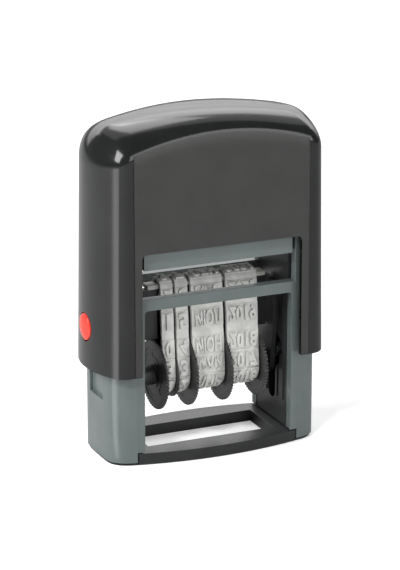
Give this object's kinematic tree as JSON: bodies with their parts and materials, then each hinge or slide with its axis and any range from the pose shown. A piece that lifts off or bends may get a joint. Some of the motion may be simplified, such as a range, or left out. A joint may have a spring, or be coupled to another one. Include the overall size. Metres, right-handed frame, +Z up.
{
  "type": "self-inking date stamp",
  "caption": "Self-inking date stamp: pressing the sprung cap turns a band dater over from its ink pad onto the paper; four thumb wheels set the date.",
  "frame": {"origin": "centre of the footprint, on the surface that the stamp stands on", "axes": "+Z up through the cap, -Y out of the front face, +X to the right of the front face"},
  "size_m": [0.0612, 0.0268, 0.0837],
  "materials": {
    "cap_dark": "gloss moulded",
    "base_grey": "satin moulded",
    "frame_black": "satin moulded",
    "wheel_black": "satin moulded",
    "bridge_light": "satin moulded",
    "band_rubber": "matt moulded rubber",
    "button_red": "gloss moulded",
    "ink_foam": "inked foam",
    "steel": "drawn wire and rod"
  },
  "bodies": {
    "base": {"base_housing": "base_grey", "foot_frame": "frame_black", "cam_plate_left": "frame_black", "cam_plate_right": "frame_black", "main_spring": "steel"},
    "cassette": {"pad_cassette": "base_grey", "ink_pad": "ink_foam"},
    "cap": {"cap_shell": "cap_dark", "yoke": "frame_black"},
    "button_left": {"lock_button_left": "button_red"},
    "button_right": {"lock_button_right": "button_red"},
    "dater": {"side_plate_left": "frame_black", "side_plate_right": "frame_black", "print_bridge": "bridge_light", "wheel_axle": "steel", "axle_sleeve_left": "frame_black", "axle_sleeve_right": "frame_black", "band_separator": "frame_black", "band_day_tens": "band_rubber", "band_day_units": "band_rubber", "band_month": "band_rubber", "band_year": "band_rubber"},
    "wheel_1": {"wheel_day_tens": "wheel_black"},
    "wheel_2": {"wheel_day_units": "wheel_black"},
    "wheel_3": {"wheel_month": "wheel_black"},
    "wheel_4": {"wheel_year": "wheel_black"}
  },
  "joints": [
    {"name": "cap_press", "type": "slide", "parent": "base", "child": "cap", "axis": [0, 0, -1], "range_m": [0, 0.0225], "stiffness_N_per_m": 300, "springref_m": -0.02, "deforming": ["main_spring"]},
    {"name": "dater_flip", "type": "hinge", "parent": "cap", "child": "dater", "pos_m": [0, 0, 0.0327], "axis": [-1, 0, 0], "range_deg": [0, 180.5]},
    {"name": "cassette_draw", "type": "slide", "parent": "base", "child": "cassette", "axis": [0, 1, 0], "range_m": [-0.0165, 0]},
    {"name": "button_left_press", "type": "slide", "parent": "cap", "child": "button_left", "axis": [-1, 0, 0], "range_m": [-0.0009, 0], "stiffness_N_per_m": 300, "springref_m": 0.0008},
    {"name": "button_right_press", "type": "slide", "parent": "cap", "child": "button_right", "axis": [1, 0, 0], "range_m": [-0.0009, 0], "stiffness_N_per_m": 300, "springref_m": 0.0008},
    {"name": "day_tens_turn", "type": "hinge", "parent": "dater", "child": "wheel_1", "pos_m": [0, 0, 0.01835], "axis": [1, 0, 0], "continuous": true},
    {"name": "day_units_turn", "type": "hinge", "parent": "dater", "child": "wheel_2", "pos_m": [0, 0, 0.01835], "axis": [1, 0, 0], "continuous": true},
    {"name": "month_turn", "type": "hinge", "parent": "dater", "child": "wheel_3", "pos_m": [0, 0, 0.01835], "axis": [1, 0, 0], "continuous": true},
    {"name": "year_turn", "type": "hinge", "parent": "dater", "child": "wheel_4", "pos_m": [0, 0, 0.01835], "axis": [1, 0, 0], "continuous": true}
  ],
  "couplings": [
    {"joint": "dater_flip", "follows": "cap_press", "rad_per_m": 139.63}
  ]
}
